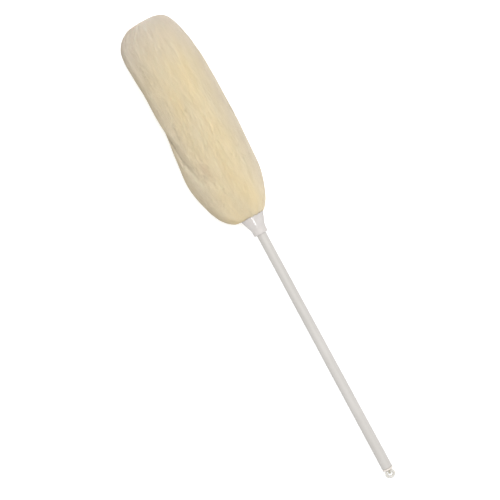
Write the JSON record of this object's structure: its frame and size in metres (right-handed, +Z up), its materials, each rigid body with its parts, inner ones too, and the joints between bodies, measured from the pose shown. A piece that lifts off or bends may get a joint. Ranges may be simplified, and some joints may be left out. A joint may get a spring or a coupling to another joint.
{
  "type": "wheel brush",
  "caption": "Soft wool-headed wheel and wash wand: slim tapered plastic handle with a swinging hang ring, flared ferrule and a long plump sheepskin head.",
  "frame": {"origin": "middle of the underside of the bounding box, on the surface the wand lies on", "axes": "+X along the wand's length towards the wool head, +Z up, +Y to the left seen from above with the head away; the wand lies with its handle end low, sloping 4 degrees"},
  "size_m": [0.7002, 0.104, 0.0962],
  "materials": {
    "white_plastic": "satin",
    "nylon": "satin",
    "clear_ring": "gloss",
    "gloss_white": "gloss",
    "steel": "satin",
    "wood": "satin",
    "sheepskin": "matte",
    "thread": "matte",
    "wool": "matte"
  },
  "bodies": {
    "wand": {"handle_tube": "white_plastic", "end_plug": "nylon", "ferrule": "gloss_white", "ferrule_pin": "steel", "core_rod": "wood", "pelt_lower": "sheepskin", "pelt_upper": "sheepskin", "seam_lower": "thread", "seam_upper": "thread", "neck_binding": "thread", "tip_binding": "thread", "neck_tack": "steel", "joint_tack_lower": "steel", "joint_tack_upper": "steel", "tip_tack": "steel", "tip_disc": "wood", "tip_screw": "steel", "fleece_lower": "wool", "fleece_upper": "wool"},
    "ring": {"hang_ring": "clear_ring"}
  },
  "joints": [
    {"name": "ring_swing", "type": "hinge", "parent": "wand", "child": "ring", "pos_m": [-0.33876, -0.00573, 0.0061], "axis": [0, 1, 0], "range_deg": [-68, 108]}
  ]
}
